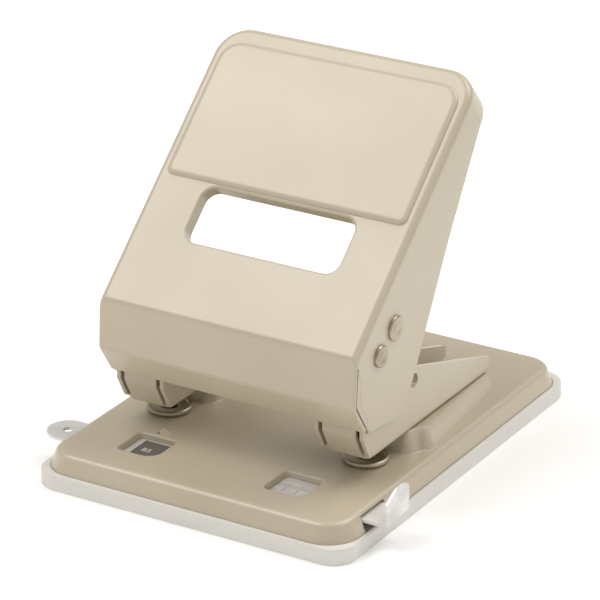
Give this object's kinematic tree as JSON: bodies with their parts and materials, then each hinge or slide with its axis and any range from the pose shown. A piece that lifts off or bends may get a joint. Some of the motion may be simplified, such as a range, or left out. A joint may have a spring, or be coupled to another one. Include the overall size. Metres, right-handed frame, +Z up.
{
  "type": "two-hole punch",
  "caption": "Heavy-duty desk hole punch with a folded sheet-steel lever, a flat base on a chip tray and a sliding paper guide.",
  "frame": {"origin": "middle of the flat underside of the chip tray, which stands on the desk", "axes": "+X to the user's right along the line of the holes, +Y away from the user, in which direction the paper goes in, +Z up"},
  "size_m": [0.1405, 0.164, 0.1368],
  "materials": {
    "tray_plastic": "smooth matte off-white plastic",
    "beige_enamel": "satin beige enamel",
    "bright_steel": "bright drawn steel",
    "hard_steel": "ground hardened steel",
    "spring_steel": "spring steel",
    "plated_steel": "nickel plated"
  },
  "bodies": {
    "tray": {"chip_tray": "tray_plastic"},
    "base": {"base_plate": "beige_enamel", "left_frame": "beige_enamel", "right_frame": "beige_enamel", "frame_rivets": "plated_steel", "left_die": "hard_steel", "right_die": "hard_steel", "left_guide_bush": "bright_steel", "right_guide_bush": "bright_steel", "left_spring": "spring_steel", "right_spring": "spring_steel", "left_guide_saddle": "bright_steel", "right_guide_saddle": "bright_steel", "guide_leaf_spring": "spring_steel"},
    "handle": {"lever": "beige_enamel", "pivot_shaft": "plated_steel", "drive_shaft": "plated_steel", "pivot_washers": "bright_steel"},
    "left_punch_body": {"left_punch": "hard_steel"},
    "right_punch_body": {"right_punch": "hard_steel"},
    "guide": {"paper_guide": "bright_steel"}
  },
  "joints": [
    {"name": "tray_removal", "type": "slide", "parent": "tray", "child": "base", "axis": [0, 0, 1], "range_m": [0, 0.02]},
    {"name": "lever_press", "type": "hinge", "parent": "base", "child": "handle", "pos_m": [0, -0.03879, 0.0587], "axis": [-1, 0, 0], "range_deg": [0, 40], "stiffness_Nm_per_rad": 0.6, "springref_deg": -34.38},
    {"name": "left_punch_slide", "type": "slide", "parent": "base", "child": "left_punch_body", "axis": [0, 0, -1], "range_m": [0, 0.0079], "deforming": ["left_spring"]},
    {"name": "right_punch_slide", "type": "slide", "parent": "base", "child": "right_punch_body", "axis": [0, 0, -1], "range_m": [0, 0.0079], "deforming": ["right_spring"]},
    {"name": "guide_slide", "type": "slide", "parent": "base", "child": "guide", "axis": [1, 0, 0], "range_m": [0, 0.0795]}
  ],
  "couplings": [
    {"joint": "left_punch_slide", "follows": "lever_press", "m_per_rad": 0.011218},
    {"joint": "right_punch_slide", "follows": "lever_press", "m_per_rad": 0.011218}
  ]
}
